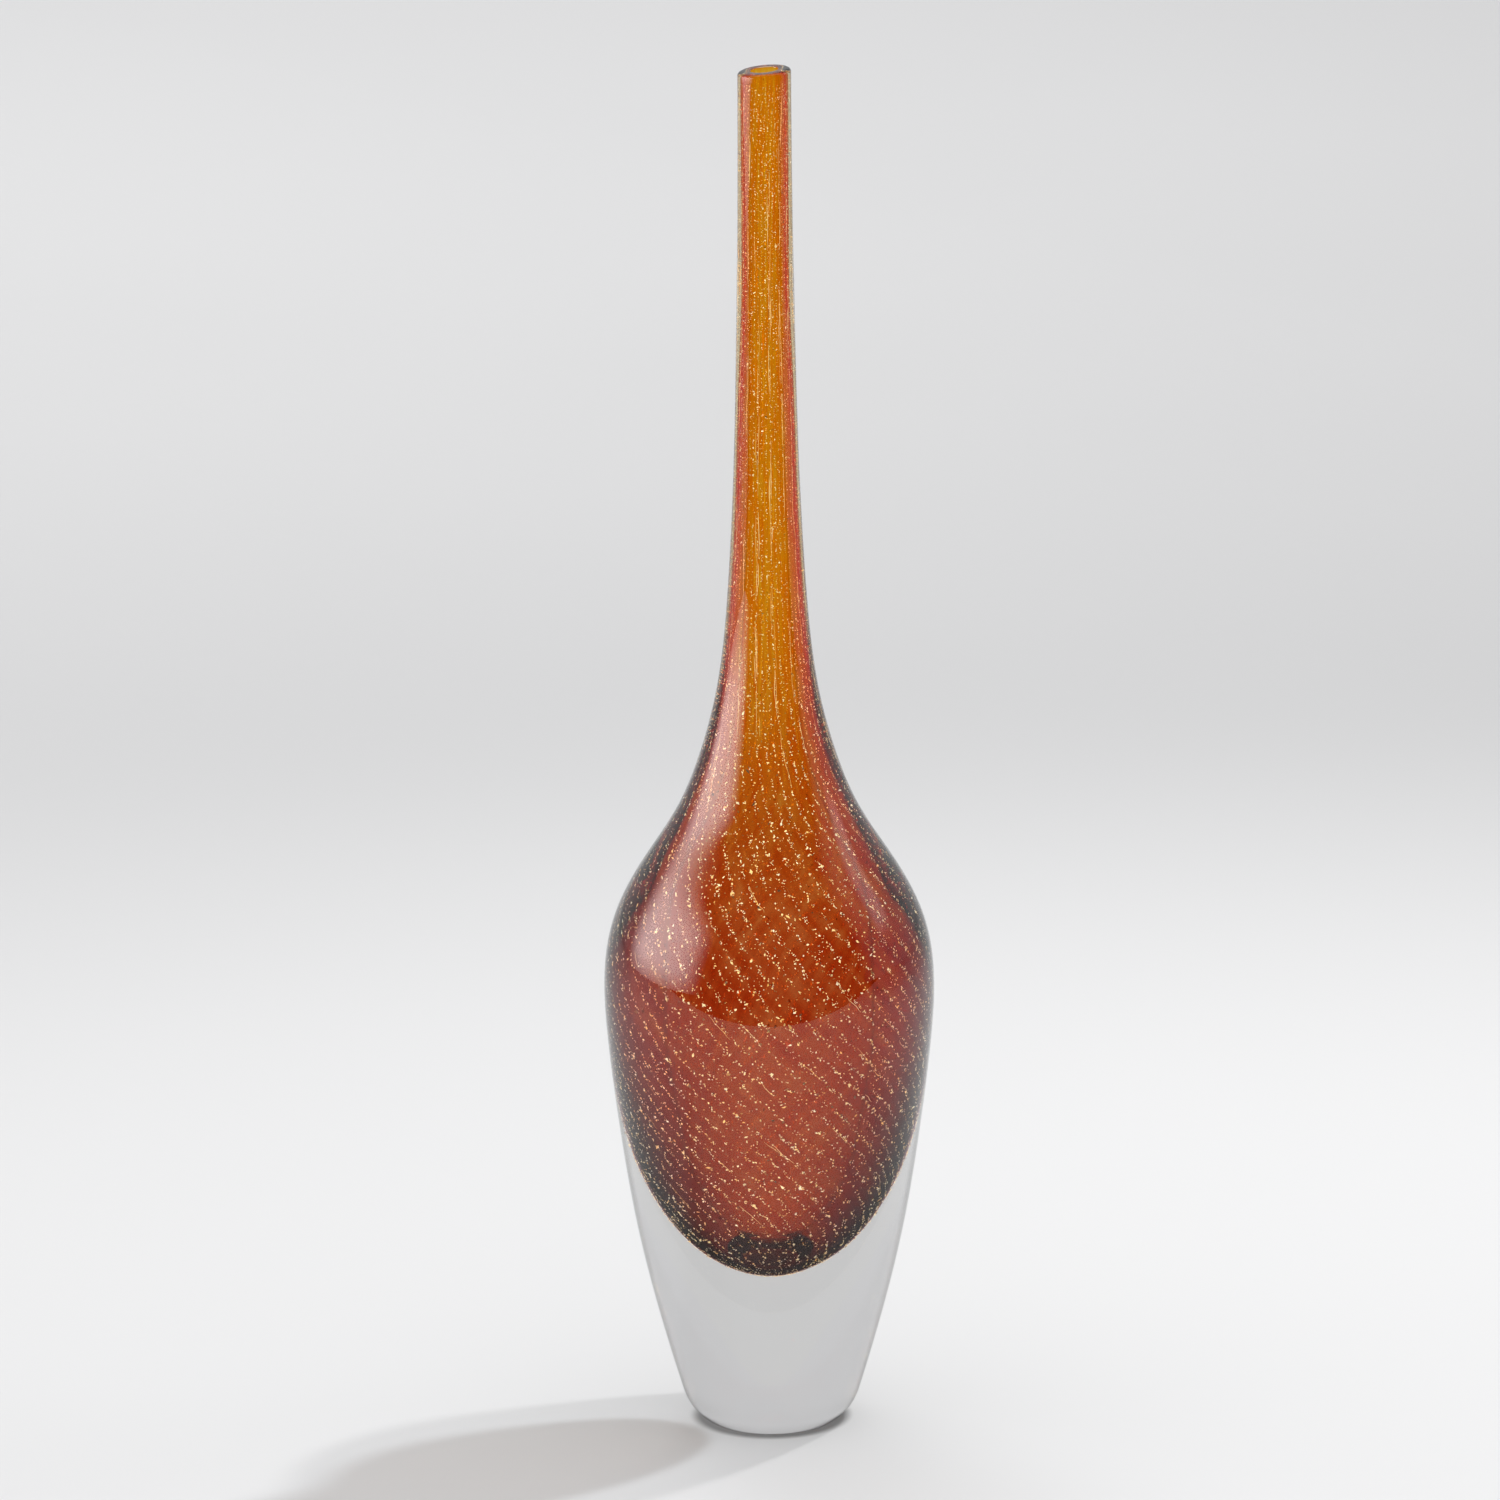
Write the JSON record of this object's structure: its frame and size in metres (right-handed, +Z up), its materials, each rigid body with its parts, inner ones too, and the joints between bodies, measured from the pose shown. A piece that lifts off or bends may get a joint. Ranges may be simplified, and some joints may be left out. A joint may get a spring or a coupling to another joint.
{
  "type": "glass bud vase",
  "caption": "Tall long-necked bud vase of cased glass: clear outer gather with a solid base over a thin ruby and amber bubble with gold flecks.",
  "frame": {"origin": "centre of the ground foot, on the surface the vase stands on", "axes": "+Z up along the vase's turning axis; the lip is highest on the +X side; -Y faces the viewer"},
  "size_m": [0.1, 0.1, 0.4199],
  "materials": {
    "clear_glass": "fire polished, clear",
    "ruby_glass": "transparent ruby",
    "gold_flecks": "clear glass holding gold flecks",
    "amber_glass": "transparent amber"
  },
  "bodies": {
    "root": {"clear_casing": "clear_glass", "ruby_layer": "ruby_glass", "fleck_layer": "gold_flecks", "amber_lining": "amber_glass"}
  },
  "joints": []
}
